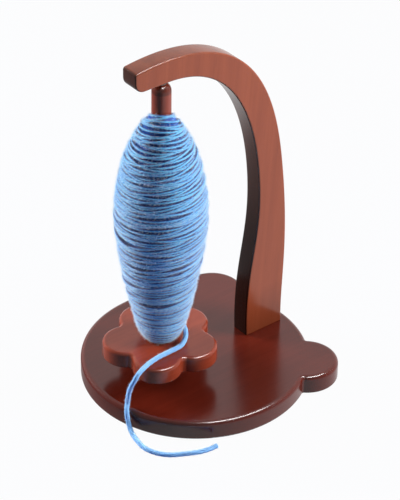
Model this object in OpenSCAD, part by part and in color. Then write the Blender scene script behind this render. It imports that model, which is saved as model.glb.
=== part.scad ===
// Yarn ball holder: a rod with a tray of yarn hangs from a magnet under a bent arm, and swings and spins.
// Millimetres. The origin is on the floor under the centre of the round base, and +Z is up.
// The arm stands at the back (+Y), and the rod hangs in front of the centre (-Y).

/* [Base] */
// Diameter of the round board
base_d = 170; // [150:1:200]
// Thickness of the board
base_t = 15; // [12:0.5:20]
// Radius of the round-over along the board's upper edge
base_top_round = 3.5; // [1:0.5:5]
// Radius of the round-over along the board's lower edge
base_low_round = 1.5; // [0.5:0.5:4]
// Diameter of the two round lobes at the back of the board
lobe_d = 47.5; // [40:0.5:54]
// Distance from the board's rim in to a lobe's centre
lobe_inset = 2; // [-4:0.5:6]
// Angle at the board's centre between the back and a lobe
lobe_angle = 42.5; // [36:0.5:60]
// Radius of the hollow corner between the board and a lobe
lobe_cove_r = 3; // [2:0.5:8]
// Diameter of a foot pad
pad_d = 18; // [10:1:24]
// Thickness of a foot pad
pad_t = 1; // [0.5:0.5:3]
// Distance from the board's rim in to the middle of a foot pad
pad_inset = 19; // [14:1:30]

/* [Arm] */
// Thickness of the plank that the arm is sawn from
arm_t = 15; // [12:0.5:20]
// Depth of the arm's foot, front to back
arm_foot_depth = 34; // [30:1:44]
// Distance from the board's rim in to the back of the foot
arm_foot_inset = 8; // [5:0.5:14]
// Height of the arm's underside over the board, where the rod hangs
arm_clear_h = 246; // [220:1:280]
// Depth of the arm at its tip, top to bottom
arm_tip_depth = 16; // [14:0.5:22]
// Distance from the rod's axis to the end of the tip
arm_overhang = 27.5; // [22:0.5:40]
// Radius of the tip's upper corner
arm_tip_top_round = 2.5; // [1:0.5:5]
// Radius of the tip's lower corner
arm_tip_low_round = 8; // [2:0.5:9]
// Diameter of the dowel between the arm and the board
dowel_d = 8; // [6:1:10]
// Length of the dowel
dowel_len = 30; // [24:1:40]
// Depth of the dowel's hole in the board
dowel_in_board = 10; // [6:0.5:10]
// Diameter of a screw's shank
screw_d = 4; // [3:0.5:5]
// Diameter of a screw's head
screw_head_d = 8; // [7:0.5:10]
// Length of an arm screw
arm_screw_len = 40; // [30:1:60]
// Distance between the two arm screws
arm_screw_gap = 20; // [18:1:24]

/* [Arm curve] */
// How far the back edge draws in just over the foot
back_low_in = 1.5; // [0:0.5:4]
// How far the back edge's lower handle stands out behind the foot
back_bulge_out = 6; // [2:0.5:10]
// How far the back edge has come in at the middle of the column
back_mid_in = 3.5; // [0:0.5:8]
// How far the back edge's crown handle stands in front of the back of the foot
back_crown_in = 25.5; // [18:0.5:34]
// How far the front edge's foot handle stands out in front of the foot
front_low_out = 3; // [0:0.5:6]
// How far the front edge's lower handle stands behind the front of the foot
front_bulge_in = 13; // [8:0.5:16]
// How far the front edge has gone back at the middle of the column
front_mid_in = 8.5; // [5:0.5:12]
// Length of the handle that bends the front edge into the level underside
under_handle = 58; // [48:1:66]

/* [Pivot] */
// Distance from the board's centre forward to the rod's axis
pivot_front = 32; // [26:1:36]
// Diameter of the magnet in the arm
arm_magnet_d = 8; // [6:0.5:9]
// Thickness of the magnet in the arm
arm_magnet_t = 4; // [2:0.5:6]
// Wall of the steel cup round the arm's magnet
cup_wall = 0.8; // [0.5:0.1:1]
// Diameter of the steel ball
ball_d = 5; // [4:0.5:5.5]
// Wall of the ball's seat beside the ball
seat_wall = 0.7; // [0.4:0.1:1.2]
// Thickness of the seat under the ball
seat_floor = 1.5; // [1:0.1:3]
// Thickness of the magnet under the seat
rod_magnet_t = 4; // [2:0.5:8]

/* [Rod] */
// Diameter of the rod
rod_d = 14; // [12:0.5:18]
// Length of rod left bare over the yarn
rod_bare = 24; // [18:1:40]
// Gap between the dome and the arm
dome_gap = 2.2; // [0.8:0.1:3]
// Diameter of the tenon at the rod's foot
tenon_d = 10; // [8:0.5:11]
// Length of the tenon
tenon_len = 5; // [3:0.5:6]

/* [Tray] */
// Thickness of the tray
tray_t = 13; // [12:0.5:16]
// Gap between the board and the tray
tray_clear = 17.1; // [12:0.1:30]
// Number of petals
petals = 5; // [5:1:6]
// Radius of a petal's round end
petal_r = 18; // [16:0.5:19]
// Distance from the rod's axis to a petal's centre
petal_reach = 25.2; // [24:0.1:27]
// Direction of the first petal, from +X towards +Y
petal_turn = -43; // [-90:1:90]
// Radius of the hollow corner between two petals
petal_cove_r = 5; // [3:0.5:7]
// Radius of the round-over along the tray's upper edge
tray_top_round = 2.5; // [1:0.5:4]
// Radius of the round-over along the tray's lower edge
tray_low_round = 1.5; // [0.5:0.5:3]
// Diameter of the washer under the tray
washer_d = 12; // [10:0.5:14]
// Thickness of the washer
washer_t = 1.2; // [0.8:0.1:2]
// Height of the tray screw's head
tray_screw_head_h = 2.2; // [1.5:0.1:2.5]
// Length of the tray screw under its head
tray_screw_len = 25; // [16:1:35]

/* [Yarn] */
// Diameter of the yarn
yarn_d = 3.6; // [2.4:0.1:4]
// Diameter of the wound yarn at its widest
yarn_belly_d = 68; // [56:1:72]
// Height of the widest place over the tray
yarn_belly_h = 104; // [90:1:120]
// Diameter of the wound yarn at its lower shoulder
yarn_shoulder_d = 40; // [34:1:46]
// Height of the lower shoulder over the tray
yarn_shoulder_h = 16; // [12:1:22]
// Diameter of the wound yarn at its foot
yarn_foot_d = 20; // [18:1:30]
// Diameter of the wound yarn at its top
yarn_top_d = 23; // [22:1:30]
// Turns of the outer layer that are drawn
yarn_turns = 24; // [12:1:24]
// Height over the tray at which the yarn leaves the last turn
yarn_leave_h = 8; // [6:0.5:12]

/* [Hidden] */
$fn = 96;
// Clearance round a piece that is held fast, and along a seat
fit = 0.1;
// Clearance of a piece that turns in a hole
run_fit = 0.05;
// Clearance between pieces that move past each other
move_gap = 0.3;
// How far a cutting shape reaches past the face that it cuts
past = 1;
// Overlap that keeps a hollow corner from only touching its neighbours
nip = 0.2;

// Heights and places of the stand
arm_foot_back = base_d / 2 - arm_foot_inset;
lobe_reach = base_d / 2 - lobe_inset;
pad_reach = base_d / 2 - pad_inset;
board_top = pad_t + base_t;
under_z = board_top + arm_clear_h;
foot_front = arm_foot_back - arm_foot_depth;
foot_mid = arm_foot_back - arm_foot_depth / 2;
tip_y = -pivot_front - arm_overhang;

// Heights of the pivot and of what hangs from it
pivot_z = under_z - move_gap - ball_d / 2;
dome_top = under_z - dome_gap;
dome_z = dome_top - rod_d / 2;
tray_z = board_top + tray_clear;
tray_top = tray_z + tray_t;
yarn_len = dome_top - tray_top - rod_bare;
seat_d = ball_d + 2 * move_gap + 2 * seat_wall;
seat_top = pivot_z - move_gap;
seat_z = pivot_z - ball_d / 2 - move_gap - seat_floor;
rod_magnet_z = seat_z - fit - rod_magnet_t;
cup_d = arm_magnet_d + 2 * fit + 2 * cup_wall;
cup_h = arm_magnet_t + fit + cup_wall;
washer_z = tray_z + tray_screw_head_h + fit;
web_z = washer_z + washer_t + fit;
shank_room = screw_d + 2 * fit;
countersink_h = (screw_head_d - screw_d) / 2;

// Point on a cubic curve with ends a and d and handles b and c
function curve_at(a, b, c, d, t) =
    pow(1 - t, 3) * a + 3 * t * pow(1 - t, 2) * b + 3 * t * t * (1 - t) * c + pow(t, 3) * d;

// Points along a cubic curve, from its start to just short of its end
function curve(a, b, c, d, steps = 20) = [for (i = [0 : steps - 1]) curve_at(a, b, c, d, i / steps)];

// Points round a corner from one angle to another
function corner(centre, r, from, to, steps = 6) =
    [for (i = [0 : steps]) let (a = from + (to - from) * i / steps) centre + r * [cos(a), sin(a)]];

// Handle that carries a curve straight on through b
function carry_on(a, b, k) = b + k * (b - a);

// Height over the board as a share of the arm's clear height
function up(share) = board_top + share * arm_clear_h;

// Handles of the arm's back edge and front edge, in the plane of the plank
back_low = [arm_foot_back - back_low_in, up(0.16)];
back_bulge = [arm_foot_back + back_bulge_out, up(0.28)];
back_mid = [arm_foot_back - back_mid_in, up(0.577)];
back_crown = [arm_foot_back - back_crown_in, up(1.124)];
front_low = [foot_front - front_low_out, up(0.256)];
front_bulge = [foot_front + front_bulge_in, up(0.325)];
front_mid = [foot_front + front_mid_in, up(0.55)];
tip_top = under_z + arm_tip_depth;

// Outline of the arm: up the back edge, round the tip and down the front edge
arm_outline = concat(
    curve([arm_foot_back, board_top], back_low, back_bulge, back_mid),
    curve(back_mid, carry_on(back_bulge, back_mid, 0.66), back_crown, [tip_y + arm_tip_top_round, tip_top]),
    corner([tip_y + arm_tip_top_round, tip_top - arm_tip_top_round], arm_tip_top_round, 90, 180),
    corner([tip_y + arm_tip_low_round, under_z + arm_tip_low_round], arm_tip_low_round, 180, 270, 10),
    curve([-pivot_front, under_z], [under_handle - pivot_front, under_z],
        carry_on(front_bulge, front_mid, 1), front_mid),
    curve(front_mid, front_bulge, front_low, [foot_front, board_top]),
    [[foot_front, board_top]]);

// Radius of the wound yarn at a height over the tray
function cop_r(h) =
    h >= yarn_belly_h
    ? yarn_top_d / 2 + (yarn_belly_d - yarn_top_d) / 2
        * (1 - pow(min(1, (h - yarn_belly_h) / (yarn_len - yarn_belly_h)), 2.2))
    : h >= yarn_shoulder_h
    ? yarn_shoulder_d / 2 + (yarn_belly_d - yarn_shoulder_d) / 2
        * (1 - pow((yarn_belly_h - h) / (yarn_belly_h - yarn_shoulder_h), 1.45))
    : yarn_foot_d / 2 + (yarn_shoulder_d - yarn_foot_d) / 2
        * (1 - pow((yarn_shoulder_h - max(0, h)) / yarn_shoulder_h, 1.6));

// Radius of the yarn under the outer layer of turns, full below the last turn
wind_gap = 0.6;
core_foot_h = yarn_leave_h - yarn_d / 2 - wind_gap;
core_bore_r = rod_d / 2 + fit;
core_wall = 1;
core_foot_steps = 6;
core_steps = 36;
core_len = yarn_len - yarn_d;
function core_r(h) = max(cop_r(h) - yarn_d - wind_gap, core_bore_r + core_wall);

// Path of the outer layer: one helix that runs down the wound yarn, clockwise seen from above
rings_per_turn = 24;
wind_rings = yarn_turns * rings_per_turn;
wind_top_h = yarn_len - yarn_d;
leave_angle = 71;
function core_slope(h) = core_r(h + 0.5) - core_r(h - 0.5);
function wind_r(h) = core_r(h) + (yarn_d / 2 + wind_gap) * sqrt(1 + pow(core_slope(h), 2));
function wind_at(i) =
    let (s = i / wind_rings,
        h = wind_top_h + (yarn_leave_h - wind_top_h) * s,
        a = leave_angle + 360 * yarn_turns * (1 - s))
    [wind_r(h) * cos(a), wind_r(h) * sin(a) - pivot_front, tray_top + h];
helix = [for (i = [0 : wind_rings]) wind_at(i)];
function unit(v) = v / norm(v);
helix_start = unit(helix[0] - helix[1]);
helix_end = unit(helix[wind_rings] - helix[wind_rings - 1]);
wind_path = concat([helix[0] + yarn_d * helix_start], helix, [helix[wind_rings] + yarn_d * helix_end]);

// Least gap between turns, measured on points that lie half a turn or more apart
turn_gap = min([for (i = [0 : wind_rings])
    for (j = [i + rings_per_turn / 2 : min(wind_rings, i + 2 * rings_per_turn)])
    norm(helix[i] - helix[j])]) - yarn_d;
echo(str("least gap between turns of yarn_winding: ", turn_gap, " mm"));

// Route of the loose tail: on from the last turn, over the tray, over the board's rim and along the floor
tail_start = wind_path[wind_rings + 2] + move_gap * helix_end;
tail_route = concat([tail_start, tail_start + yarn_d * helix_end], [
    [15, -20.7, tray_top + 6.7], [17.4, -22.6, tray_top + 5.2], [19.5, -25.4, tray_top + 3.4],
    [21.3, -29.3, tray_top + 2.2], [22.2, -35, tray_top + 2.1], [22.4, -41, tray_top + 2.1],
    [23, -53, tray_top + 2.1], [25, -62.5, tray_top + 2.1], [27.7, -70, tray_top + 2],
    [29, -74.5, tray_top + 0.8], [29, -77, tray_top - 2.3], [26.5, -78.5, tray_top - 8.9],
    [23.4, -78.9, board_top + 11.8], [22.9, -79.7, board_top + 3.6], [25.7, -82.4, board_top + 0.1],
    [28, -83.4, 11.2], [30.9, -84.1, 6.2], [35.8, -85.1, 2.7], [44.6, -86.8, 2], [53.7, -87.4, 2],
    [62.7, -84.4, 2], [70.7, -77.8, 2], [76.2, -68.6, 2], [81, -58.6, 2],
    [82.7, -50.8, 2], [83, -44.7, 2]]);

// Direction of a path at one of its points
function heading(path, i) = unit(path[min(i + 1, len(path) - 1)] - path[max(i - 1, 0)]);

// Part of v that stands square to the direction t
function square_to(v, t) = unit(v - (v * t) * t);

// Directions square to a path, each carried on from the one before with no twist
function carried(path, first, i = 0) =
    let (n = square_to(first, heading(path, i)))
    i == len(path) - 1 ? [n] : concat([n], carried(path, n, i + 1));

// Tube along a path, one ring of corners at each point, with all faces triangles
module tube(path, normals, d, sides) {
    rings = len(path);
    points = [for (i = [0 : rings - 1])
        let (t = heading(path, i), n = square_to(normals[i], t), b = cross(t, n))
        for (k = [0 : sides - 1])
        let (a = 360 * k / sides) path[i] + d / 2 * (cos(a) * n + sin(a) * b)];
    walls = [for (i = [0 : rings - 2])
        for (k = [0 : sides - 1])
        let (p = i * sides + k, q = i * sides + (k + 1) % sides)
        each [[p, p + sides, q], [q, p + sides, q + sides]]];
    last = (rings - 1) * sides;
    caps = [for (k = [1 : sides - 2]) each [[0, k, k + 1], [last, last + k + 1, last + k]]];
    polyhedron(points, concat(walls, caps));
}

// Half section of a disc with its two edges rounded over
module disc_section(r, h, top_round, low_round) {
    square([r - top_round, h]);
    square([r - low_round, low_round]);
    translate([0, low_round])
        square([r, h - top_round - low_round]);
    translate([r - top_round, h - top_round])
        circle(top_round);
    translate([r - low_round, low_round])
        circle(low_round);
}

module rounded_disc(r, h, top_round, low_round) {
    rotate_extrude()
        disc_section(r, h, top_round, low_round);
}

// Spool that leaves a hollow corner with the same round-overs as the discs
module cove_cutter(r, h, top_round, low_round) {
    rotate_extrude() {
        translate([0, -past])
            square([r, h + 2 * past]);
        difference() {
            translate([0, h - top_round])
                square([r + top_round, top_round + past]);
            translate([r + top_round, h - top_round])
                circle(top_round);
        }
        difference() {
            translate([0, -past])
                square([r + low_round, low_round + past]);
            translate([r + low_round, low_round])
                circle(low_round);
        }
    }
}

// Centre of a hollow corner beside two discs, to the left of the way from a to b
function cove_centre(a, ra, b, rb, r) =
    let (d = norm(b - a),
        u = (b - a) / d,
        ga = ra + r - nip,
        gb = rb + r - nip,
        along = (d * d + ga * ga - gb * gb) / (2 * d))
    a + along * u + sqrt(ga * ga - along * along) * [-u.y, u.x];

// Fill between two discs that ends in a hollow corner
module cove_fill(a, b, centre, r, h, top_round, low_round) {
    difference() {
        linear_extrude(h)
            polygon([a, b, centre]);
        translate(centre)
            cove_cutter(r, h, top_round, low_round);
    }
}

function lobe_at(side) = lobe_reach * [side * sin(lobe_angle), cos(lobe_angle)];

module board_blank() {
    rounded_disc(base_d / 2, base_t, base_top_round, base_low_round);
    for (side = [-1, 1]) {
        lobe = lobe_at(side);
        translate(lobe)
            rounded_disc(lobe_d / 2, base_t, base_top_round, base_low_round);
        for (ends = [[[0, 0], base_d / 2, lobe, lobe_d / 2], [lobe, lobe_d / 2, [0, 0], base_d / 2]])
            cove_fill(ends[0], ends[2], cove_centre(ends[0], ends[1], ends[2], ends[3], lobe_cove_r),
                lobe_cove_r, base_t, base_top_round, base_low_round);
    }
}

// Places of the two arm screws under the foot
module at_arm_screws() {
    for (side = [-1, 1])
        translate([0, foot_mid + side * arm_screw_gap / 2, pad_t])
            children();
}

// Countersunk screw with its head down at the origin, larger by room all round
module countersunk(len, room) {
    cylinder(h = len + room, d = screw_d + 2 * room);
    cylinder(h = countersink_h, d1 = screw_head_d + 2 * room, d2 = screw_d + 2 * room);
}

module base_board() {
    color("#5c261c")
        difference() {
            translate([0, 0, pad_t])
                board_blank();
            at_arm_screws()
                countersunk(base_t + past, fit);
            translate([0, foot_mid, board_top - dowel_in_board - fit])
                cylinder(h = dowel_in_board + fit + past, d = dowel_d + 2 * fit);
        }
}

module foot_pads() {
    color("#2b2622")
        for (k = [0 : 3])
            rotate(45 + 90 * k)
                translate([pad_reach, 0, 0])
                    cylinder(h = pad_t, d = pad_d);
}

module arm() {
    color("#8a4a3a")
        difference() {
            rotate([90, 0, 90])
                translate([0, 0, -arm_t / 2])
                    linear_extrude(arm_t)
                        polygon(arm_outline);
            at_arm_screws()
                cylinder(h = arm_screw_len + 2 * fit, d = shank_room);
            translate([0, foot_mid, board_top - past])
                cylinder(h = dowel_len - dowel_in_board + fit + past, d = dowel_d + 2 * fit);
            translate([0, -pivot_front, under_z - past])
                cylinder(h = cup_h + fit + past, d = cup_d + 2 * fit);
        }
}

module arm_dowel() {
    color("#c9a06c")
        translate([0, foot_mid, board_top - dowel_in_board])
            cylinder(h = dowel_len, d = dowel_d);
}

module arm_screws() {
    color("#b9b6ae")
        at_arm_screws()
            countersunk(arm_screw_len, 0);
}

module magnet_cup() {
    color("#9a9a9c")
        translate([0, -pivot_front, under_z])
            difference() {
                cylinder(h = cup_h, d = cup_d);
                translate([0, 0, -past])
                    cylinder(h = arm_magnet_t + fit + past, d = arm_magnet_d + 2 * fit);
            }
}

module arm_magnet() {
    color("#c4c6c8")
        translate([0, -pivot_front, under_z])
            cylinder(h = arm_magnet_t, d = arm_magnet_d);
}

module pivot_ball() {
    color("#d6d8da")
        translate([0, -pivot_front, pivot_z])
            sphere(d = ball_d);
}

module ball_seat() {
    color("#a9a49a")
        difference() {
            translate([0, -pivot_front, seat_z])
                cylinder(h = seat_top - seat_z, d = seat_d);
            translate([0, -pivot_front, pivot_z])
                sphere(d = ball_d + 2 * move_gap);
        }
}

module rod_magnet() {
    color("#c4c6c8")
        translate([0, -pivot_front, rod_magnet_z])
            cylinder(h = rod_magnet_t, d = seat_d);
}

module spindle_rod() {
    color("#5f2a21")
        translate([0, -pivot_front, 0])
            difference() {
                union() {
                    translate([0, 0, tray_top])
                        cylinder(h = dome_z - tray_top, d = rod_d);
                    translate([0, 0, dome_z])
                        sphere(d = rod_d);
                    translate([0, 0, tray_top - tenon_len])
                        cylinder(h = tenon_len + past, d = tenon_d);
                }
                translate([0, 0, rod_magnet_z - fit])
                    cylinder(h = dome_top - rod_magnet_z + fit + past, d = seat_d + 2 * run_fit);
                translate([0, 0, washer_z])
                    cylinder(h = tray_screw_len + fit, d = shank_room);
            }
}

function petal_at(k) =
    let (a = petal_turn + 360 * k / petals)
    petal_reach * [cos(a), sin(a)];

module tray_blank() {
    for (k = [0 : petals - 1]) {
        near = petal_at(k);
        next = petal_at(k + 1);
        centre = cove_centre(next, petal_r, near, petal_r, petal_cove_r);
        translate(near)
            rounded_disc(petal_r, tray_t, tray_top_round, tray_low_round);
        cove_fill(near, next, centre, petal_cove_r, tray_t, tray_top_round, tray_low_round);
    }
    cylinder(h = tray_t, r = petal_reach * cos(180 / petals));
}

module flower_tray() {
    color("#7c3527")
        translate([0, -pivot_front, tray_z])
            difference() {
                tray_blank();
                translate([0, 0, tray_t - tenon_len - fit])
                    cylinder(h = tenon_len + fit + past, d = tenon_d + 2 * fit);
                translate([0, 0, -past])
                    cylinder(h = tray_t + past, d = shank_room);
                translate([0, 0, -past])
                    cylinder(h = web_z - tray_z + past, d = washer_d + 2 * fit);
            }
}

module tray_washer() {
    color("#b9b6ae")
        translate([0, -pivot_front, washer_z])
            difference() {
                cylinder(h = washer_t, d = washer_d);
                translate([0, 0, -past])
                    cylinder(h = washer_t + 2 * past, d = shank_room);
            }
}

module tray_screw() {
    color("#b9b6ae")
        translate([0, -pivot_front, washer_z]) {
            cylinder(h = tray_screw_len, d = screw_d);
            translate([0, 0, -tray_screw_head_h])
                cylinder(h = tray_screw_head_h, d = screw_head_d);
        }
}

module yarn_core() {
    color("#3c78b4")
        translate([0, -pivot_front, tray_top])
            rotate_extrude()
                polygon(concat(
                    [[core_bore_r, fit]],
                    [for (i = [0 : core_foot_steps])
                        let (h = fit + (core_foot_h - fit) * i / core_foot_steps) [cop_r(h), h]],
                    [for (i = [0 : core_steps])
                        let (h = core_foot_h + (core_len - core_foot_h) * i / core_steps) [core_r(h), h]],
                    [[core_bore_r, core_len]]));
}

module yarn_winding() {
    axis_point = [0, -pivot_front, 0];
    outward = [for (p = wind_path) unit([p.x, p.y, 0] - axis_point)];
    color("#6fb1e8")
        tube(wind_path, outward, yarn_d, 6);
}

module yarn_tail() {
    color("#7fbdf0")
        tube(tail_route, carried(tail_route, [0, 0, 1]), yarn_d, 8);
}

base_board();
foot_pads();
arm();
arm_dowel();
arm_screws();
magnet_cup();
arm_magnet();
pivot_ball();
ball_seat();
rod_magnet();
spindle_rod();
flower_tray();
tray_washer();
tray_screw();
yarn_core();
yarn_winding();
yarn_tail();
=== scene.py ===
import math

import bmesh
import bpy
import numpy as np
from mathutils import Matrix, Vector


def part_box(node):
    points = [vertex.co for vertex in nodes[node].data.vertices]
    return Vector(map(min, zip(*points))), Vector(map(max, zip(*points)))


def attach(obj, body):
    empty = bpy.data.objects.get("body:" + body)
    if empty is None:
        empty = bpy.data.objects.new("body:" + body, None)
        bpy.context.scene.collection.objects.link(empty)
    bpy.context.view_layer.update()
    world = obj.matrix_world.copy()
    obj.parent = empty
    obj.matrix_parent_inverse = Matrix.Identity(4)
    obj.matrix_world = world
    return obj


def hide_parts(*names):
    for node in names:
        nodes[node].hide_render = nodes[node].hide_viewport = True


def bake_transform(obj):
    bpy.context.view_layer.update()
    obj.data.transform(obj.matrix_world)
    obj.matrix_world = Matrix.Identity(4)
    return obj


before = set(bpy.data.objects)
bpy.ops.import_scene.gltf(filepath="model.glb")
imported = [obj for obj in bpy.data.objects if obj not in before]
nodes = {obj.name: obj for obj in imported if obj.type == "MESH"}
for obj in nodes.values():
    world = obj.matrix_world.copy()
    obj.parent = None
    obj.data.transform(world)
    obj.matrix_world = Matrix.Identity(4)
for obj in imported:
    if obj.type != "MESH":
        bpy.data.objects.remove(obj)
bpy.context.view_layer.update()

# Camera: a long lens, high over the front right of the holder.
# The focal length is in pixels of a picture 400 wide and 500 high, whose long side the sensor spans.
picture_high = 500
focal_px = 2383.6
sensor_mm = 36.0
view_turn = math.radians(51.41)
view_rise = math.radians(34.37)
view_roll = math.radians(0.79)
camera_place = Vector((1.1128, -0.8845, 1.0802))

lens = bpy.data.cameras.new("view")
lens.sensor_width = sensor_mm
lens.lens = focal_px * sensor_mm / picture_high
lens_right = Vector((math.cos(view_turn), math.sin(view_turn), 0))
lens_back = Vector((math.sin(view_turn) * math.cos(view_rise),
                    -math.cos(view_turn) * math.cos(view_rise),
                    math.sin(view_rise)))
lens_axes = Matrix((lens_right, lens_back.cross(lens_right), lens_back)).transposed()
lens_axes = lens_axes @ Matrix.Rotation(view_roll, 3, "Z")
camera = bpy.data.objects.new("view", lens)
camera.matrix_world = Matrix.Translation(camera_place) @ lens_axes.to_4x4()
bpy.context.collection.objects.link(camera)
bpy.context.scene.camera = camera
bpy.context.scene.view_settings.view_transform = "Standard"


# Table and light: a white sweep, a soft lamp low on each side and a weak bluish light from all round.
# A narrow lamp overhead is only mirrored, as a fine bright line on rounded edges. Looked at, the sweep is
# white;
# mirrored in the varnish, the back of the room is white and its front dimmer,
# and the sweep has a painted shadow on its left front.
def feed(tree, node, inputs):
    """Sets the node's inputs to plain values, or links them to the sockets that feed them."""
    for name, value in inputs.items():
        if isinstance(value, bpy.types.NodeSocket):
            tree.links.new(value, node.inputs[name])
        else:
            node.inputs[name].default_value = value


def add_node(tree, kind, inputs=None, **settings):
    """A node of that kind, with these settings and inputs."""
    node = tree.nodes.new(kind)
    for name, value in settings.items():
        setattr(node, name, value)
    feed(tree, node, inputs or {})
    return node


def math_node(tree, operation, a, b=0.0):
    return add_node(tree, "ShaderNodeMath", {0: a, 1: b}, operation=operation).outputs[0]


def mixed(tree, share, a, b, kind="RGBA"):
    """A mix of a and b, with that share of b."""
    mix = add_node(tree, "ShaderNodeMix", {"Factor": share, "A": a, "B": b}, data_type=kind)
    return mix.outputs["Result"]


def spread(tree, value, low, high, least=0.0, most=1.0):
    """The values from low to high, spread from least to most."""
    return add_node(tree, "ShaderNodeMapRange", {
        "Value": value, "From Min": low, "From Max": high, "To Min": least, "To Max": most}).outputs[0]


def reach_along(tree, coordinates, way):
    """How far a place lies along a direction."""
    place = add_node(tree, "ShaderNodeTexCoord").outputs[coordinates]
    dot = add_node(tree, "ShaderNodeVectorMath", {0: place, 1: way}, operation="DOT_PRODUCT")
    return dot.outputs["Value"]


def by_ray(tree, carried, mirrored, seen):
    """One value for rays that only carry light, one for mirror images and one for what is looked at."""
    path = add_node(tree, "ShaderNodeLightPath").outputs
    mirror = math_node(tree, "MAXIMUM", path["Is Glossy Ray"], path["Is Transmission Ray"])
    level = mixed(tree, mirror, carried, mirrored, "FLOAT")
    return mixed(tree, path["Is Camera Ray"], level, seen, "FLOAT")


white = (1, 1, 1, 1)
room_light = 0.06
room_tint = (0.42, 0.66, 1.0, 1)
room_back_way = (-0.78, 0.62, 0.0)
room_front_at, room_back_at = -0.2, 0.6
room_front_white, room_back_white = 0.4, 1.1
room = bpy.data.worlds.new("white_room")
room.use_nodes = True
sky = room.node_tree
sky.nodes.clear()
bpy.context.scene.world = room
room_white = spread(sky, reach_along(sky, "Generated", room_back_way), room_front_at, room_back_at,
                    room_front_white, room_back_white)
room_colour = mixed(sky, by_ray(sky, 0.0, 1.0, 1.0), room_tint, white)
room_level = by_ray(sky, room_light, room_white, 1.0)
room_sky = add_node(sky, "ShaderNodeBackground", {"Color": room_colour, "Strength": room_level})
add_node(sky, "ShaderNodeOutputWorld", {"Surface": room_sky.outputs[0]})

sweep_half = 6.0
sweep_white = 0.97
sweep_shade = (0.08, 0.16, 0.42, 1)
sweep_bright_way = (0.35, 0.94, 0.0)
sweep_shadow_at, sweep_bright_at = -0.09, -0.04
sweep_shadow_white, sweep_bright_white = 0.30, 0.95
sweep_paper = bpy.data.materials.new("sweep_paper")
sweep_paper.use_nodes = True
paper = sweep_paper.node_tree
paper.nodes.clear()
# Painted shadow: mirrored in the varnish, the sweep is dim on the left front and white on the right.
paper_mirror_shade = spread(paper, reach_along(paper, "Object", sweep_bright_way), sweep_shadow_at, sweep_bright_at,
                     sweep_shadow_white, sweep_bright_white)
paper_glow = add_node(paper, "ShaderNodeEmission", {
    "Color": white, "Strength": by_ray(paper, 0.0, paper_mirror_shade, 1.0)})
paper_base = add_node(paper, "ShaderNodeBsdfDiffuse", {"Color": sweep_shade})
paper_mix = add_node(paper, "ShaderNodeMixShader", {
    0: by_ray(paper, 0.0, sweep_white, sweep_white), 1: paper_base.outputs[0], 2: paper_glow.outputs[0]})
add_node(paper, "ShaderNodeOutputMaterial", {"Surface": paper_mix.outputs[0]})
sweep_mesh = bpy.data.meshes.new("sweep")
sweep_mesh.from_pydata([(-sweep_half, -sweep_half, 0), (sweep_half, -sweep_half, 0),
                        (sweep_half, sweep_half, 0), (-sweep_half, sweep_half, 0)], [], [(0, 1, 2, 3)])
sweep_mesh.materials.append(sweep_paper)
sweep = bpy.data.objects.new("sweep", sweep_mesh)
bpy.context.collection.objects.link(sweep)

lamp_aim = Vector((0, 0, 0.13))
lamp_distance = 1.2


def soft_lamp(name, turn, rise, size, watts, only_mirrored=False):
    """A lamp that looks at the holder; turn is from the front towards the right, in degrees.
    It either lights the surfaces or is only mirrored in them."""
    a, e = math.radians(turn), math.radians(rise)
    away = Vector((math.sin(a) * math.cos(e), -math.cos(a) * math.cos(e), math.sin(e)))
    lamp = bpy.data.lights.new(name, "AREA")
    lamp.shape = "RECTANGLE"
    lamp.size, lamp.size_y = size
    lamp.energy = watts
    holder = bpy.data.objects.new(name, lamp)
    facing = away.to_track_quat("Z", "Y").to_matrix().to_4x4()
    holder.matrix_world = Matrix.Translation(lamp_aim + away * lamp_distance) @ facing
    holder.visible_camera = False
    holder.visible_glossy = only_mirrored
    holder.visible_diffuse = not only_mirrored
    bpy.context.collection.objects.link(holder)


soft_lamp("right_lamp", turn=138, rise=24, size=(0.6, 0.7), watts=26.0)
soft_lamp("left_lamp", turn=-58, rise=16, size=(0.6, 0.6), watts=29.0)
soft_lamp("rim_lamp", turn=110, rise=62, size=(1.1, 0.15), watts=30.0, only_mirrored=True)


# Base board: a round board with two lobes at the back, sawn from hardwood and rounded over.
# Like all the wooden pieces, it is stained red-brown and sprayed with gloss varnish.
def new_finish(name):
    """A new material, with its node tree and its shader."""
    material = bpy.data.materials.new(name)
    material.use_nodes = True
    return material, material.node_tree, material.node_tree.nodes["Principled BSDF"]


def object_place(tree):
    return add_node(tree, "ShaderNodeTexCoord").outputs["Object"]


def noise(tree, place, scale, detail=2.0, roughness=0.5):
    return add_node(tree, "ShaderNodeTexNoise", {
        "Vector": place, "Scale": scale, "Detail": detail, "Roughness": roughness}).outputs["Fac"]


def bump(tree, height, strength, distance, **more):
    return add_node(tree, "ShaderNodeBump", {
        "Height": height, "Strength": strength, "Distance": distance, **more}).outputs[0]


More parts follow.
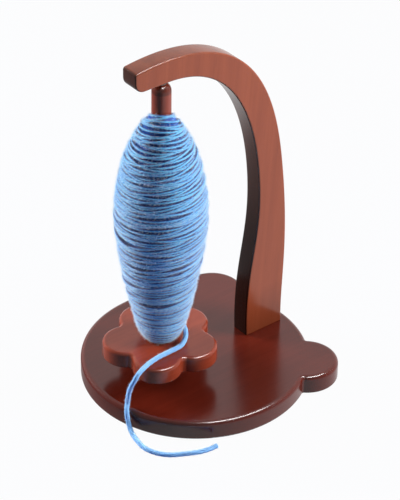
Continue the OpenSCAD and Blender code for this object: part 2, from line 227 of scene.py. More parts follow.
def stained_wood(name, grain_turn, light, dark, front_painted_shade=None, pooled_stain_and_shade=None):
    """Stained wood under varnish; grain_turn brings the grain, which runs along Z, to the piece's own way.
    Faces that look to the front get painted shade, the most from one height down to another,
    and a band from one height on to another is darkened: stain that ran and gathered on some pieces, painted
    shade on others."""
    streak_share, pore_share, pool_and_shade_share = 0.35, 0.45, 0.75
    material, tree, shader = new_finish(name)
    coordinates = add_node(tree, "ShaderNodeTexCoord").outputs
    height = add_node(tree, "ShaderNodeSeparateXYZ", {0: coordinates["Object"]}).outputs["Z"]
    turned = add_node(tree, "ShaderNodeMapping", {"Vector": coordinates["Object"], "Rotation": grain_turn})

    def grain(across, along, detail):
        """Streaks, that many to the metre across the grain and along it."""
        stretched = add_node(tree, "ShaderNodeMapping", {
            "Vector": turned.outputs[0], "Scale": (across, across, along)})
        return noise(tree, stretched.outputs[0], scale=1.0, detail=detail, roughness=0.6)

    def stain(factor):
        """The dark stain, that many times as bright; also used for painted shade."""
        return (*(factor * c for c in dark), 1)

    streaks = grain(across=420, along=9, detail=5)
    pores = spread(tree, grain(across=1900, along=55, detail=3), 0.62, 0.72)
    bands = spread(tree, grain(across=70, along=4, detail=4), 0.32, 0.68)
    colour = mixed(tree, bands, (*dark, 1), (*light, 1))
    colour = mixed(tree, spread(tree, streaks, 0.42, 0.75, 0.0, streak_share), colour, stain(0.8))
    colour = mixed(tree, spread(tree, pores, 0, 1, 0.0, pore_share), colour, stain(0.5))
    # Darker band between two heights: real stain on the rod's dome, painted shade at the arm's foot.
    if pooled_stain_and_shade:
        colour = mixed(tree, spread(tree, height, *pooled_stain_and_shade, 0.0, pool_and_shade_share), colour, stain(0.4))
    # Painted shade: faces that look to the front are darkened to near black, the most low down.
    if front_painted_shade:
        forward = add_node(tree, "ShaderNodeSeparateXYZ", {0: coordinates["Normal"]}).outputs["Y"]
        depth = spread(tree, height, *front_painted_shade, 0.85, 1.0)
        share = math_node(tree, "MULTIPLY", spread(tree, forward, -0.3, -0.8), depth)
        colour = mixed(tree, share, colour, stain(0.04))
    peel = noise(tree, coordinates["Object"], scale=260.0)
    feed(tree, shader, {
        "Base Color": colour, "Roughness": spread(tree, streaks, 0.3, 0.7, 0.5, 0.65),
        "Normal": bump(tree, pores, strength=0.10, distance=-0.0001), "Specular IOR Level": 0.0,
        "Coat Weight": 1.0, "Coat Roughness": 0.20, "Coat IOR": 1.5,
        "Coat Normal": bump(tree, peel, strength=0.04, distance=0.0004)})
    return material


def finish_node(name, material):
    """Gives a CAD node its finish."""
    nodes[name].data.materials.clear()
    nodes[name].data.materials.append(material)


board_grain = (math.radians(90), 0, math.radians(20))
board_light, board_dark = (0.098, 0.0105, 0.0046), (0.077, 0.0076, 0.0032)
finish_node("base_board", stained_wood("board_wood", board_grain, board_light, board_dark))


# Foot pads: four discs of dark felt that are stuck under the board.
# They keep the varnish off the table.
def felt(name):
    material, tree, shader = new_finish(name)
    fibres = noise(tree, object_place(tree), scale=1500.0, detail=4.0)
    shade = mixed(tree, fibres, (0.020, 0.017, 0.015, 1), (0.070, 0.062, 0.055, 1))
    relief = bump(tree, fibres, strength=0.6, distance=0.0003)
    feed(tree, shader, {"Base Color": shade, "Normal": relief, "Roughness": 0.95, "Sheen Weight": 0.3})
    return material


finish_node("foot_pads", felt("pad_felt"))

# Arm: one plank, band-sawn to a bent column with a level nose, its edges rounded over with a router.
# The foot is glued and screwed to the board. The sawn front is painted dark, most of all low down, and the
# faces
# darken towards the foot: both are painted shade.
board_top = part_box("base_board")[1].z
nose_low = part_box("magnet_cup")[0].z
nose_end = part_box("arm")[0].y
arm_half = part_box("arm")[1].x
pivot_y = -0.032
foot_back = 0.077
foot_front = 0.043
nose_depth = 0.016
nose_top_round, nose_low_round = 0.0025, 0.008
edge_round = 0.0012
edge_steps = 6
flat_margin = 0.0004
joint_gap = 0.0005


def curve_points(a, b, c, d, steps=36):
    """Points on a cubic curve with ends a and d and handles b and c, without its end."""
    t = np.arange(steps)[:, None] / steps
    a, b, c, d = (np.array(p, float) for p in (a, b, c, d))
    return (1 - t) ** 3 * a + 3 * t * (1 - t) ** 2 * b + 3 * t * t * (1 - t) * c + t ** 3 * d


def corner_points(centre, radius, first, last, steps=10):
    """Points round a corner, from one angle to another in degrees."""
    a = np.radians(np.linspace(first, last, steps + 1))[:, None]
    return np.array(centre) + radius * np.hstack([np.cos(a), np.sin(a)])


def height_share(share):
    """A height over the board, as a share of the clear height under the nose."""
    return board_top + share * (nose_low - board_top)


foot_z = board_top + joint_gap
back_bulge = np.array([foot_back + 0.006, height_share(0.28)])
back_mid = np.array([foot_back - 0.0035, height_share(0.577)])
front_bulge = np.array([foot_front + 0.013, height_share(0.325)])
front_mid = np.array([foot_front + 0.0085, height_share(0.55)])
back_low = (foot_back - 0.0015, height_share(0.16))
back_high = (foot_back - 0.0255, height_share(1.124))
back_lead = 0.66
front_low = (foot_front - 0.003, height_share(0.256))
front_high = (pivot_y + 0.058, nose_low)
nose_top = nose_low + nose_depth
arm_side = np.vstack([
    curve_points((foot_back, foot_z), back_low, back_bulge, back_mid),
    curve_points(back_mid, back_mid + back_lead * (back_mid - back_bulge), back_high,
                 (nose_end + nose_top_round, nose_top), steps=60),
    corner_points((nose_end + nose_top_round, nose_top - nose_top_round), nose_top_round, 90, 180),
    corner_points((nose_end + nose_low_round, nose_low + nose_low_round), nose_low_round, 180, 270),
    curve_points((nose_end + nose_low_round, nose_low), (nose_end + 0.014, nose_low),
                 (pivot_y - 0.008, nose_low), (pivot_y, nose_low), steps=10)[1:],
    curve_points((pivot_y, nose_low), front_high, 2 * front_mid - front_bulge, front_mid, steps=60),
    curve_points(front_mid, front_bulge, front_low, (foot_front, foot_z)),
    [(foot_front, foot_z)]])


def inward(outline):
    """Directions square to an open outline, to its left; level at its two ends."""
    way = np.gradient(outline, axis=0)
    left = np.stack([-way[:, 1], way[:, 0]], axis=1)
    left[[0, -1], 1] = 0
    return left / np.linalg.norm(left, axis=1, keepdims=True)


def mesh_piece(name, mesh, material):
    """An object at the origin for a finished mesh."""
    mesh.materials.clear()
    mesh.materials.append(material)
    piece = bpy.data.objects.new(name, mesh)
    bpy.context.collection.objects.link(piece)
    return piece


def shade_with_creases(mesh, crease_degrees=40):
    """Smooth shading, with hard edges where faces meet at more than the crease angle."""
    form = bmesh.new()
    form.from_mesh(mesh)
    for face in form.faces:
        face.smooth = True
    for edge in form.edges:
        edge.smooth = edge.calc_face_angle(0) < math.radians(crease_degrees)
    form.to_mesh(mesh)
    form.free()


def applied(piece):
    """The piece with its modifiers made part of its mesh."""
    graph = bpy.context.evaluated_depsgraph_get()
    made = bpy.data.meshes.new_from_object(piece.evaluated_get(graph), preserve_all_data_layers=True,
                                           depsgraph=graph)
    piece.modifiers.clear()
    piece.data = made
    return piece


def ring_mesh(name, rings):
    """A closed mesh through rings of points, with a flat face on the first and the last."""
    form = bmesh.new()
    loops = [[form.verts.new(p) for p in ring] for ring in rings]
    count = len(loops[0])
    for low, high in zip(loops, loops[1:]):
        for i in range(count):
            j = (i + 1) % count
            form.faces.new((low[i], low[j], high[j], high[i]))
    form.faces.new(loops[0])
    form.faces.new(loops[-1])
    bmesh.ops.recalc_face_normals(form, faces=form.faces)
    mesh = bpy.data.meshes.new(name)
    form.to_mesh(mesh)
    form.free()
    return mesh


arm_inward = inward(arm_side)
half_profile = [(-arm_half, edge_round + flat_margin)]
for step in range(edge_steps + 1):
    edge_turn = math.pi / 2 * step / edge_steps
    half_profile.append((-arm_half + edge_round * (1 - math.cos(edge_turn)),
                         edge_round * (1 - math.sin(edge_turn))))
arm_profile = half_profile + [(-x, inset) for x, inset in reversed(half_profile)]
arm_rings = [[(x, y, z) for y, z in arm_side + inset * arm_inward] for x, inset in arm_profile]
arm_grain = (math.radians(4), 0, 0)
arm_light, arm_dark = (0.30, 0.064, 0.022), (0.23, 0.044, 0.0145)
# Painted shade: the heights between which the arm's front faces go from dark to darkest.
front_shade_from, front_shade_to = 0.20, 0.10
# Painted shade: the arm's faces darken over this height above the board, towards the foot.
foot_shade_high = 0.04
arm_wood = stained_wood("arm_wood", arm_grain, arm_light, arm_dark, front_painted_shade=(front_shade_from, front_shade_to),
                        pooled_stain_and_shade=(board_top + foot_shade_high, board_top))
arm = mesh_piece("bent_arm", ring_mesh("bent_arm", arm_rings), arm_wood)

magnet_hole_r = 0.00495
magnet_hole_deep = 0.005
cutter_mesh = bpy.data.meshes.new("magnet_hole")
cutter_form = bmesh.new()
bmesh.ops.create_cone(cutter_form, cap_ends=True, segments=48, radius1=magnet_hole_r, radius2=magnet_hole_r,
                      depth=2 * magnet_hole_deep, matrix=Matrix.Translation((0, pivot_y, nose_low)))
cutter_form.to_mesh(cutter_mesh)
cutter_form.free()
cutter = mesh_piece("magnet_hole", cutter_mesh, arm_wood)
hole = arm.modifiers.new("magnet_hole", "BOOLEAN")
hole.operation = "DIFFERENCE"
hole.solver = "EXACT"
hole.object = cutter
applied(arm)
bpy.data.objects.remove(cutter)
shade_with_creases(arm.data)
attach(arm, "stand")
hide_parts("arm")


# Joint line: a near-black strip under the arm's foot, painted shade for the shadow in the gap at the joint.
# It stands back from the foot all round.
def joint_shade_finish(name):
    material, tree, shader = new_finish(name)
    joint_mottle = noise(tree, object_place(tree), scale=500.0, detail=3.0)
    # Painted shade: near black, in place of the shadow in the gap under the foot.
    shade = mixed(tree, joint_mottle, (0.012, 0.004, 0.003, 1), (0.035, 0.010, 0.006, 1))
    feed(tree, shader, {"Base Color": shade, "Roughness": 0.5})
    return material


joint_in = 0.0012
joint_x = arm_half - joint_in
joint_front, joint_back = foot_front + joint_in, foot_back - joint_in
joint_outline = [(-joint_x, joint_front), (joint_x, joint_front),
                 (joint_x, joint_back), (-joint_x, joint_back)]
joint_rings = [[(x, y, z) for x, y in joint_outline] for z in (board_top, foot_z)]
joint_line = mesh_piece("joint_line", ring_mesh("joint_line", joint_rings), joint_shade_finish("joint_painted_shade"))
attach(joint_line, "stand")


# Dowel and screws: a plain beech dowel and two countersunk screws hold the arm's foot from below.
# The screws are steel, zinc plated.
def plated_steel(name, colour, rough_low, rough_high):
    """Plated steel, a little uneven in its colour and its shine."""
    material, tree, shader = new_finish(name)
    dull_share = 0.82
    marks = noise(tree, object_place(tree), scale=900.0, detail=4.0)
    shade = mixed(tree, marks, (*(dull_share * c for c in colour), 1), (*colour, 1))
    rough = spread(tree, marks, 0.3, 0.7, rough_low, rough_high)
    relief = bump(tree, marks, strength=0.08, distance=0.0001)
    feed(tree, shader, {"Base Color": shade, "Roughness": rough, "Normal": relief, "Metallic": 1.0})
    return material


def raw_wood(name):
    """Bare wood with fine flecks along Z."""
    material, tree, shader = new_finish(name)
    stretched = add_node(tree, "ShaderNodeMapping", {"Vector": object_place(tree), "Scale": (1200, 1200, 40)})
    fleck = noise(tree, stretched.outputs[0], scale=1.0, detail=4.0)
    shade = mixed(tree, fleck, (0.44, 0.28, 0.15, 1), (0.66, 0.48, 0.29, 1))
    feed(tree, shader, {"Base Color": shade, "Roughness": 0.7})
    return material


zinc = plated_steel("zinc_plate", (0.64, 0.63, 0.60), rough_low=0.28, rough_high=0.45)
finish_node("arm_dowel", raw_wood("dowel_beech"))
finish_node("arm_screws", zinc)

# Pivot: a magnet in a steel cup is pressed into the nose, and a polished ball hangs from it.
# The ball sits in a turned seat over a second magnet in the rod's dome.
nickel = plated_steel("bright_nickel", (0.78, 0.78, 0.78), rough_low=0.06, rough_high=0.16)
for name in ("arm_magnet", "pivot_ball", "rod_magnet"):
    finish_node(name, nickel)
for name in ("magnet_cup", "ball_seat"):
    finish_node(name, zinc)

# Rod: a turned dowel with a domed top, stained and varnished. Its foot is a tenon in the tray.
# The dome is end grain, which takes up more stain.
rod_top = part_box("spindle_rod")[1].z
rod_light, rod_dark = (0.25, 0.040, 0.018), (0.19, 0.029, 0.014)
dome_from, dome_to = rod_top - 0.0072, rod_top - 0.0064
rod_wood = stained_wood("rod_wood", (0, 0, 0), rod_light, rod_dark, pooled_stain_and_shade=(dome_from, dome_to))
finish_node("spindle_rod", rod_wood)

# Tray: a board sawn to five round petals, rounded over, stained and varnished.
# A pan-head screw and a washer pull it up against the rod from below.
tray_grain = (math.radians(90), 0, math.radians(-35))
tray_light, tray_dark = (0.27, 0.040, 0.015), (0.21, 0.029, 0.011)
finish_node("flower_tray", stained_wood("tray_wood", tray_grain, tray_light, tray_dark))
finish_node("tray_washer", zinc)
finish_node("tray_screw", zinc)

# Yarn: soft two-ply acrylic, wound up the rod in close turns and then over them in open ones that cross.
# The turns lie on inner layers that are painted dark and show only as painted shade between them, and loose
# fibres, painted paler than the yarn as painted sheen, stand off all over.
tray_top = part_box("flower_tray")[1].z
yarn_d = 0.0036
wound_d = 0.0024
yarn_high = 0.1908
belly_r, belly_h = 0.0327, 0.104
shoulder_r, shoulder_h = 0.0188, 0.016
foot_r = 0.0115
crown_r = 0.0086
crown_bend, belly_bend, foot_bend = 2.3, 1.45, 1.6
rod_r = 0.0070
closest_r = rod_r + 0.36 * wound_d


def cop_radius(h):
    """Radius of the wound yarn at heights over the tray."""
    h = np.asarray(h, float)

    def narrowing(wide_r, narrow_r, share, bend):
        return narrow_r + (wide_r - narrow_r) * (1 - np.clip(share, 0, 1) ** bend)

    upper = narrowing(belly_r, crown_r, (h - belly_h) / (yarn_high - belly_h), crown_bend)
    middle = narrowing(belly_r, shoulder_r, (belly_h - h) / (belly_h - shoulder_h), belly_bend)
    lower = narrowing(shoulder_r, foot_r, (shoulder_h - h) / shoulder_h, foot_bend)
    return np.where(h >= belly_h, upper, np.where(h >= shoulder_h, middle, lower))


def eased(share):
    share = np.clip(share, 0, 1)
    return share * share * (3 - 2 * share)


def wander(rng, turns, scatter, knots_per_turn):
    """A smooth random line over the turns, with that scatter."""
    knots = rng.normal(0, scatter, int(turns.max() * knots_per_turn) + 4)
    at = turns * knots_per_turn
    k = at.astype(int)
    f = eased(at - k)
    return knots[k] * (1 - f) + knots[k + 1] * f


turn_steps = 120
top_margin = 0.0025
yarn_top_h = yarn_high - top_margin
leave_turn = math.radians(71)
leave_r, leave_h = 0.01538, 0.008
lean_way = math.radians(51)
crown_way = math.radians(-39)
crown_rise = 0.005
crown_from, crown_span = 0.160, 0.026
low_margin, high_margin, margin_span = 0.006, 0.012, 0.03
closing_span = 0.006
radius_sway = 0.0004
turn_sway = 1.2
rng = np.random.default_rng(11)


def crown_lift(level, angle):
    """How much the top of the wound yarn is pushed up on one side of the rod and down on the other."""
    return crown_rise * eased((level - crown_from) / crown_span) * np.cos(angle - crown_way)


def layer(count, last_angle, h_first, h_last, lean, sway, proud):
    """One layer of turns, which lean to one side and sway: angles, heights over the tray and radii."""
    turns = np.arange(count * turn_steps + 1) / turn_steps
    share = turns / count
    angle = last_angle + 2 * np.pi * (count - turns)
    level = h_first + (h_last - h_first) * share
    free = eased(np.minimum(level - low_margin, yarn_high - high_margin - level) / margin_span)
    tilt = lean * cop_radius(level) * np.cos(angle - lean_way)
    sway_size = wander(rng, turns, sway, knots_per_turn=0.7)
    sway_turn = wander(rng, turns, turn_sway, knots_per_turn=0.4)
    tilt += sway_size * np.sin(angle + sway_turn)
    tilt += wander(rng, turns, sway, knots_per_turn=1.1)
    h = np.maximum(level + free * tilt, wound_d / 2)
    unevenness = wander(rng, turns, radius_sway, knots_per_turn=2.5)
    r = cop_radius(h) - wound_d / 2 + free * (unevenness + proud)
    closing = eased((level - yarn_top_h + closing_span) / closing_span)
    r = r * (1 - closing) + closest_r * closing
    return angle, h + crown_lift(level, angle), np.maximum(r, closest_r)


def round_axis(angle, h, r):
    return np.stack([r * np.cos(angle), pivot_y + r * np.sin(angle), tray_top + h], axis=1)


# Each layer from the outside in: its turns, first and last height, lean, sway, and how proud it stands.
layer_plans = [(16, yarn_top_h, leave_h, 0.14, 0.0016, 0.0006),
               (16, 0.012, yarn_top_h, 0.02, 0.0014, 0.0004),
               (18, yarn_top_h, 0.012, 0.18, 0.0012, 0.0002),
               (68, 0.0015, yarn_top_h, 0.09, 0.0006, 0.0)]
layers = []
next_angle = leave_turn
for count, *course in layer_plans:
    layers.insert(0, layer(count, next_angle, *course))
    next_angle = layers[0][0][0]
last_angle, last_h, last_r = layers[-1]
last_count = layer_plans[0][0]
done_turns = (last_angle[0] - last_angle) / (last_angle[0] - leave_turn) * last_count
leaving = eased(done_turns - last_count + 1)
layers[-1] = (last_angle, last_h, last_r * (1 - leaving) + leave_r * leaving)


def even_steps(line, step):
    """The line again, with its points that far apart."""
    run = np.concatenate([[0], np.cumsum(np.linalg.norm(np.diff(line, axis=0), axis=1))])
    at = np.linspace(0, run[-1], int(round(run[-1] / step)) + 1)
    return np.stack([np.interp(at, run, line[:, k]) for k in range(3)], axis=1)


strand_step = 0.0008
under_line = even_steps(round_axis(*layers[0]), strand_step)
over_line = even_steps(np.vstack([round_axis(*made) for made in layers[1:]]), strand_step)


def tree_with_inputs(name, inputs):
    """A new geometry tree with these named inputs, and the sockets that they come in on."""
    tree = bpy.data.node_groups.new(name, "GeometryNodeTree")
    tree.interface.new_socket("Geometry", in_out="INPUT", socket_type="NodeSocketGeometry")
    for label, kind in inputs.items():
        tree.interface.new_socket(label, in_out="INPUT", socket_type="NodeSocket" + kind)
    tree.interface.new_socket("Geometry", in_out="OUTPUT", socket_type="NodeSocketGeometry")
    return tree, tree.nodes.new("NodeGroupInput").outputs


def end_tree(tree, geometry, finish):
    """The end of a geometry tree: real faces with their finish."""
    whole = add_node(tree, "GeometryNodeRealizeInstances", {"Geometry": geometry})
    finished = add_node(tree, "GeometryNodeSetMaterial", {"Geometry": whole.outputs[0], "Material": finish})
    add_node(tree, "NodeGroupOutput", {"Geometry": finished.outputs[0]})


def named(tree, label, kind="FLOAT"):
    return add_node(tree, "GeometryNodeInputNamedAttribute", {"Name": label}, data_type=kind).outputs[0]


def stored(tree, geometry, label, value, kind="FLOAT"):
    """The geometry with a value on each of its points, under that name."""
    store = add_node(tree, "GeometryNodeStoreNamedAttribute", {
        "Geometry": geometry, "Name": label, "Value": value}, data_type=kind, domain="POINT")
    return store.outputs[0]


def facing_out(tree):
    """How far a place on the yarn faces away from what the yarn lies on, from -1 to 1."""
    normal = add_node(tree, "GeometryNodeInputNormal").outputs[0]
    outward = named(tree, "outward", "FLOAT_VECTOR")
    dot = add_node(tree, "ShaderNodeVectorMath", {0: normal, 1: outward}, operation="DOT_PRODUCT")
    return dot.outputs["Value"]


def scaled(tree, vector, factor):
    return add_node(tree, "ShaderNodeVectorMath", {0: vector, "Scale": factor}, operation="SCALE").outputs[0]


def spun_yarn_tree():
    """Turns a line of points into two-ply yarn: a tube with two low lobes that wind along it."""
    tree, given = tree_with_inputs("spun_yarn", {
        "Diameter": "Float", "Ply depth": "Float", "Twist pitch": "Float", "Least facing": "Float",
        "Sides": "Int", "Finish": "Material"})
    line = add_node(tree, "GeometryNodeMeshToCurve", {"Mesh": given["Geometry"]})
    level = add_node(tree, "GeometryNodeSetCurveNormal", {"Curve": line.outputs[0]}, mode="MINIMUM_TWIST")
    run = add_node(tree, "GeometryNodeSplineParameter").outputs["Length"]
    marked = stored(tree, level.outputs[0], "along", run)
    ring = add_node(tree, "GeometryNodeCurvePrimitiveCircle", {"Resolution": given["Sides"], "Radius": 0.5})
    point = add_node(tree, "GeometryNodeInputPosition").outputs[0]
    place = add_node(tree, "ShaderNodeSeparateXYZ", {0: point}).outputs
    section = stored(tree, ring.outputs[0], "ring_turn", math_node(tree, "ARCTAN2", place[1], place[0]))
    thick = math_node(tree, "MULTIPLY", given["Diameter"], named(tree, "thickness"))
    strand = add_node(tree, "GeometryNodeCurveToMesh", {
        "Curve": marked, "Profile Curve": section, "Fill Caps": True, "Scale": thick}).outputs[0]
    pitches = math_node(tree, "DIVIDE", named(tree, "along"), given["Twist pitch"])
    twist = math_node(tree, "MULTIPLY", pitches, 2 * math.pi)
    turned = math_node(tree, "SUBTRACT", named(tree, "ring_turn"), twist)
    lobe = math_node(tree, "COSINE", math_node(tree, "MULTIPLY", turned, 2.0))
    reach = math_node(tree, "MULTIPLY", math_node(tree, "MULTIPLY", lobe, given["Ply depth"]),
                      math_node(tree, "MULTIPLY", thick, 0.5))
    offset = scaled(tree, add_node(tree, "GeometryNodeInputNormal").outputs[0], reach)
    plied = add_node(tree, "GeometryNodeSetPosition", {"Geometry": strand, "Offset": offset}).outputs[0]
    around = add_node(tree, "ShaderNodeCombineXYZ", {
        0: math_node(tree, "COSINE", turned), 1: math_node(tree, "SINE", turned)}).outputs[0]
    plied = stored(tree, plied, "around", around, "FLOAT_VECTOR")
    # How far each place faces out, which the finish turns into painted shade between the turns.
    plied = stored(tree, plied, "proud", math_node(tree, "MAXIMUM", facing_out(tree), given["Least facing"]))
    smooth = add_node(tree, "GeometryNodeSetShadeSmooth", {"Geometry": plied})
    end_tree(tree, smooth.outputs[0], given["Finish"])
    return tree


def loose_fibre_tree():
    """Scatters short pointed fibres over yarn, on the side that faces out."""
    shortest = 0.4
    tree, given = tree_with_inputs("loose_fibres", {
        "Fibres per square metre": "Float", "Facing": "Float", "Length": "Float", "Thickness": "Float",
        "Lean": "Float", "Seed": "Int", "Finish": "Material"})
    shown = add_node(tree, "FunctionNodeCompare", {0: facing_out(tree), 1: given["Facing"]},
                     operation="GREATER_THAN", data_type="FLOAT")
    roots = add_node(tree, "GeometryNodeDistributePointsOnFaces", {
        "Mesh": given["Geometry"], "Selection": shown.outputs[0],
        "Density": given["Fibres per square metre"], "Seed": given["Seed"]})
    double_length = math_node(tree, "MULTIPLY", given["Length"], 2.0)
    half_thick = math_node(tree, "DIVIDE", given["Thickness"], double_length)
    fibre = add_node(tree, "GeometryNodeMeshCone", {
        "Vertices": 3, "Radius Top": 0.0, "Radius Bottom": half_thick, "Depth": 1.0}, fill_type="NGON")
    tilt = scaled(tree, (1.0, 1.0, 0.0), given["Lean"])
    most = add_node(tree, "ShaderNodeVectorMath", {0: tilt, 1: (0.0, 0.0, math.pi)}, operation="ADD")
    least = add_node(tree, "ShaderNodeVectorMath", {0: (0.0, 0.0, 0.0), 1: most.outputs[0]},
                     operation="SUBTRACT")
    lean = add_node(tree, "FunctionNodeRandomValue", {
        0: least.outputs[0], 1: most.outputs[0], "Seed": given["Seed"]}, data_type="FLOAT_VECTOR")
    lean_turn = add_node(tree, "FunctionNodeEulerToRotation", {0: lean.outputs[0]})
    way = add_node(tree, "FunctionNodeRotateRotation", {
        "Rotation": roots.outputs["Rotation"], "Rotate By": lean_turn.outputs[0]}, rotation_space="LOCAL")
    size = add_node(tree, "FunctionNodeRandomValue", {2: shortest, 3: 1.0, "Seed": given["Seed"]},
                    data_type="FLOAT")
    planted = add_node(tree, "GeometryNodeInstanceOnPoints", {
        "Points": roots.outputs["Points"], "Instance": fibre.outputs[0], "Rotation": way.outputs[0],
        "Scale": math_node(tree, "MULTIPLY", size.outputs["Value"], given["Length"])})
    end_tree(tree, planted.outputs[0], given["Finish"])
    return tree


def grown(name, mesh, tree, values):
    """A piece with the mesh that a geometry tree makes of another one."""
    piece = bpy.data.objects.new(name, mesh)
    bpy.context.collection.objects.link(piece)
    modifier = piece.modifiers.new(tree.name, "NODES")
    modifier.node_group = tree
    for item in tree.interface.items_tree:
        if item.in_out == "INPUT" and item.name in values:
            modifier[item.identifier] = values[item.name]
    return applied(piece)


def line_mesh(name, line, outward, thickness):
    """A line of points as a mesh, with the way that faces out and the share of full thickness at each."""
    mesh = bpy.data.meshes.new(name)
    mesh.from_pydata([tuple(p) for p in line], [(i, i + 1) for i in range(len(line) - 1)], [])
    mesh.attributes.new("outward", "FLOAT_VECTOR", "POINT").data.foreach_set("vector", np.ravel(outward))
    mesh.attributes.new("thickness", "FLOAT", "POINT").data.foreach_set("value", np.ravel(thickness))
    return mesh


def yarn_finish(name, groove_shade, mid, light, sheen, nap):
    """Brushed acrylic, painted dark between the turns and pale on them as painted shade, with streaks that
    run along the plies.
    The nap is the share by which loose fibres blur the roundness of each turn into the whole cop's form."""
    groove_shade_at, mid_at, light_at = 0.56, 0.72, 0.90
    fibre_share, tuft_share = 0.35, 0.55
    material, tree, shader = new_finish(name)
    along = add_node(tree, "ShaderNodeAttribute", attribute_name="along").outputs["Fac"]
    around = add_node(tree, "ShaderNodeAttribute", attribute_name="around").outputs["Vector"]
    proud = add_node(tree, "ShaderNodeAttribute", attribute_name="proud").outputs["Fac"]
    section = add_node(tree, "ShaderNodeSeparateXYZ", {0: around}).outputs

    def fibre_noise(per_metre, round_scale):
        """Noise that is drawn out along the yarn."""
        place = add_node(tree, "ShaderNodeCombineXYZ", {
            0: math_node(tree, "MULTIPLY", along, per_metre),
            1: math_node(tree, "MULTIPLY", section[0], round_scale),
            2: math_node(tree, "MULTIPLY", section[1], round_scale)})
        return noise(tree, place.outputs[0], scale=1.0, detail=4.0, roughness=0.65)

    def about_none(value, share):
        return math_node(tree, "MULTIPLY", math_node(tree, "SUBTRACT", value, 0.5), share)

    fibres = fibre_noise(per_metre=420.0, round_scale=5.0)
    tufts = fibre_noise(per_metre=1500.0, round_scale=3.0)
    speckle = math_node(tree, "ADD", about_none(fibres, fibre_share), about_none(tufts, tuft_share))
    # Painted shade: the less a place faces out from what the yarn lies on, the darker its colour.
    ramp = add_node(tree, "ShaderNodeValToRGB", {"Fac": math_node(tree, "ADD", proud, speckle)})
    stops = ramp.color_ramp.elements
    stops[0].position, stops[0].color = groove_shade_at, (*groove_shade, 1)
    stops[1].position, stops[1].color = light_at, (*light, 1)
    stops.new(mid_at).color = (*mid, 1)
    outward = add_node(tree, "ShaderNodeAttribute", attribute_name="outward").outputs["Vector"]
    outward = add_node(tree, "ShaderNodeVectorTransform", {"Vector": outward}, vector_type="NORMAL",
                       convert_from="OBJECT", convert_to="WORLD").outputs[0]
    own = add_node(tree, "ShaderNodeNewGeometry").outputs["Normal"]
    napped = add_node(tree, "ShaderNodeVectorMath", {0: mixed(tree, nap, own, outward, "VECTOR")},
                      operation="NORMALIZE").outputs[0]
    height = math_node(tree, "ADD", fibres, tufts)
    relief = bump(tree, height, strength=0.9, distance=0.0005, Normal=napped)
    feed(tree, shader, {
        "Base Color": ramp.outputs["Color"], "Normal": relief, "Roughness": 0.85, "Specular IOR Level": 0.1,
        "Sheen Weight": sheen, "Sheen Roughness": 0.5, "Sheen Tint": white})
    return material


def sheen_fibre_finish(name):
    """Single fibres: thin and half clear, coloured near white as painted sheen over the blue yarn."""
    clear_share = 0.5
    material, tree, shader = new_finish(name)
    mottle = noise(tree, object_place(tree), scale=300.0)
    # Painted sheen: real loose fibres, given a near-white colour instead of the yarn's blue.
    shade = mixed(tree, mottle, (0.82, 0.92, 1.0, 1), white)
    feed(tree, shader, {"Base Color": shade, "Roughness": 0.6})
    glow = add_node(tree, "ShaderNodeBsdfTranslucent", {"Color": shade})
    clear = add_node(tree, "ShaderNodeMixShader", {
        0: clear_share, 1: shader.outputs[0], 2: glow.outputs[0]})
    feed(tree, tree.nodes["Material Output"], {"Surface": clear.outputs[0]})
    return material


spun_yarn = spun_yarn_tree()
loose_fibres = loose_fibre_tree()
blue_yarn = yarn_finish("blue_yarn", groove_shade=(0.018, 0.025, 0.26), mid=(0.015, 0.22, 0.88),
                        light=(0.18, 0.70, 1.0), sheen=1.0, nap=0.8)
yarn_spin = {"Diameter": wound_d, "Ply depth": 0.14, "Twist pitch": 0.006, "Least facing": -1.0, "Sides": 7,
             "Finish": blue_yarn}
fibre_growth = {"Fibres per square metre": 1700000.0, "Facing": 0.5, "Length": 0.0019, "Thickness": 0.00021,
                "Lean": 0.2, "Finish": sheen_fibre_finish("painted_sheen_fibre")}
full_from, full_to = 0.006, 0.165
thin_foot, thin_top = 0.9, 0.75
slope_step = 0.001


def wound_strand(name, line, seed):
    """Turns of yarn along a line round the rod, and the loose fibres on them."""
    h = line[:, 2] - tray_top
    flat = line[:, :2] - [0, pivot_y]
    flat /= np.linalg.norm(flat, axis=1, keepdims=True)
    slope = (cop_radius(h + slope_step) - cop_radius(h - slope_step)) / (2 * slope_step)
    outward = np.column_stack([flat, -slope]) / np.sqrt(1 + slope[:, None] ** 2)
    thickness = np.interp(h, [0, full_from, full_to, yarn_high], [thin_foot, 1.0, 1.0, thin_top])
    strand = grown(name, line_mesh(name, line, outward, thickness), spun_yarn, yarn_spin)
    fuzz = grown(name + "_fuzz", strand.data.copy(), loose_fibres, {**fibre_growth, "Seed": seed})
    return strand, fuzz


under_half = len(under_line) // 2
wound = [wound_strand("yarn_wraps_low", under_line[:under_half + 1], seed=3),
         wound_strand("yarn_wraps_high", under_line[under_half:], seed=6),
         wound_strand("yarn_crossings", over_line, seed=4)]

heart_in = 0.0024
heart_off_rod = 0.0004
heart_steps = 60
heart_sides = 72
heart_foot, heart_top = 0.0004, yarn_high - 0.004


def heart_finish(name):
    """Inner layers of yarn, coloured darker than the yarn as painted shade between the turns, which show as
    faint bands.
    """
    material, tree, shader = new_finish(name)
    bands = add_node(tree, "ShaderNodeTexWave", {
        "Vector": object_place(tree), "Scale": 95.0, "Distortion": 2.0, "Detail": 3.0},
        bands_direction="Z").outputs["Fac"]
    # Painted shade: both blues are darker than the yarn's own.
    shade = mixed(tree, bands, (0.03, 0.08, 0.34, 1), (0.06, 0.18, 0.56, 1))
    relief = bump(tree, bands, strength=0.6, distance=0.0008)
    feed(tree, shader, {"Base Color": shade, "Normal": relief, "Roughness": 0.95})
    return material


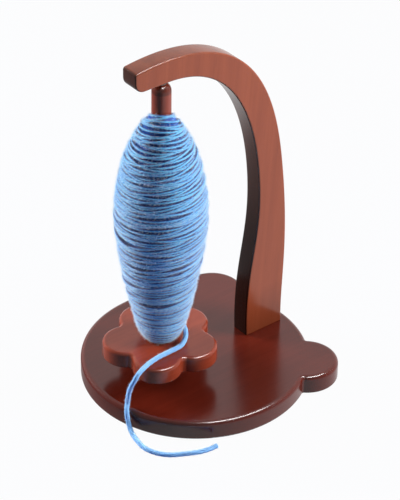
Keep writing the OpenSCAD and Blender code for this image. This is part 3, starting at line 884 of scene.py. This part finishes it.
heart_h = np.linspace(heart_foot, heart_top, heart_steps)
heart_r = np.maximum(cop_radius(heart_h) - heart_in, rod_r + heart_off_rod)
heart_turn = 2 * np.pi * np.arange(heart_sides) / heart_sides
heart_rings = [round_axis(heart_turn, h + crown_lift(h, heart_turn), np.full(heart_sides, r))
               for h, r in zip(heart_h, heart_r)]
heart = mesh_piece("yarn_heart", ring_mesh("yarn_heart", heart_rings), heart_finish("inner_yarn"))
shade_with_creases(heart.data)
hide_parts("yarn_core")
for strand, fuzz in wound:
    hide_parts("yarn_winding")
for piece in (heart, *(piece for pair in wound for piece in pair)):
    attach(piece, "pendulum")

# Yarn tail: the free end of the same yarn, off the last turn, over a petal and the board's rim to the table.
# It is cut off square, and is in two lengths that meet in the air, one for each way that the rod swings.
tail_route = [
    (0.0088, -0.0184, 0.0538), (0.0123, -0.0193, 0.0535), (0.0150, -0.0207, 0.0528),
    (0.0174, -0.0226, 0.0513), (0.0195, -0.0254, 0.0495), (0.0213, -0.0293, 0.0483),
    (0.0222, -0.0350, 0.0482), (0.0224, -0.0410, 0.0482), (0.0230, -0.0530, 0.0482),
    (0.0250, -0.0625, 0.0482), (0.0277, -0.0700, 0.0481), (0.0290, -0.0745, 0.0469),
    (0.0290, -0.0770, 0.0438), (0.0265, -0.0785, 0.0372), (0.0234, -0.0789, 0.0278),
    (0.0229, -0.0797, 0.0196), (0.0257, -0.0824, 0.0161), (0.0280, -0.0834, 0.0112),
    (0.0309, -0.0841, 0.0062), (0.0358, -0.0851, 0.0027), (0.0446, -0.0868, 0.0020),
    (0.0537, -0.0874, 0.0020), (0.0627, -0.0844, 0.0020), (0.0707, -0.0778, 0.0020),
    (0.0762, -0.0686, 0.0020), (0.0810, -0.0586, 0.0020), (0.0827, -0.0508, 0.0020),
    (0.0830, -0.0447, 0.0020)]
tail_step = 0.0005
swing_split_z = 0.0325


def smooth_line(points, steps=16):
    """A smooth curve through the points, slowed by the root of their distance so that it never overshoots."""
    p = np.array([tuple(q) for q in points], float)
    p = np.vstack([2 * p[0] - p[1], p, 2 * p[-1] - p[-2]])
    knots = np.concatenate([[0], np.cumsum(np.linalg.norm(np.diff(p, axis=0), axis=1) ** 0.5)])
    line = []
    for i in range(1, len(p) - 2):
        t0, t1, t2, t3 = knots[i - 1:i + 3]
        for t in np.linspace(t1, t2, steps, endpoint=False):
            a = p[i - 1] + (p[i] - p[i - 1]) * (t - t0) / (t1 - t0)
            b = p[i] + (p[i + 1] - p[i]) * (t - t1) / (t2 - t1)
            c = p[i + 1] + (p[i + 2] - p[i + 1]) * (t - t2) / (t3 - t2)
            ab = a + (b - a) * (t - t0) / (t2 - t0)
            bc = b + (c - b) * (t - t1) / (t3 - t1)
            line.append(ab + (bc - ab) * (t - t1) / (t2 - t1))
    return np.array(line + [p[-2]])


tail_yarn = yarn_finish("tail_yarn", groove_shade=(0.05, 0.12, 0.50), mid=(0.20, 0.47, 0.88),
                        light=(0.27, 0.56, 0.96), sheen=0.3, nap=0.0)
tail_spin = {**yarn_spin, "Diameter": yarn_d, "Ply depth": 0.04, "Twist pitch": 0.009, "Least facing": 0.88,
             "Sides": 12, "Finish": tail_yarn}
tail_growth = {**fibre_growth, "Fibres per square metre": 700000.0, "Facing": -0.1, "Length": 0.0014,
               "Seed": 5}
tail_line = even_steps(smooth_line(tail_route), tail_step)
split = int(np.argmax(tail_line[:, 2] < swing_split_z))


def tail_length(name, line):
    """One length of the tail and its fibres."""
    way = np.gradient(line, axis=0)
    lying = 1 - np.abs(way[:, 2]) / np.linalg.norm(way, axis=1)
    up = np.column_stack([np.zeros((len(line), 2)), lying])
    strand = grown(name, line_mesh(name, line, up, np.ones(len(line))), spun_yarn, tail_spin)
    fuzz = grown(name + "_fuzz", strand.data.copy(), loose_fibres, tail_growth)
    for piece in (strand, fuzz):
        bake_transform(piece)
    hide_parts("yarn_tail")


tail_length("tail_over_tray", tail_line[:split + 1])
tail_length("tail_on_table", tail_line[split:])
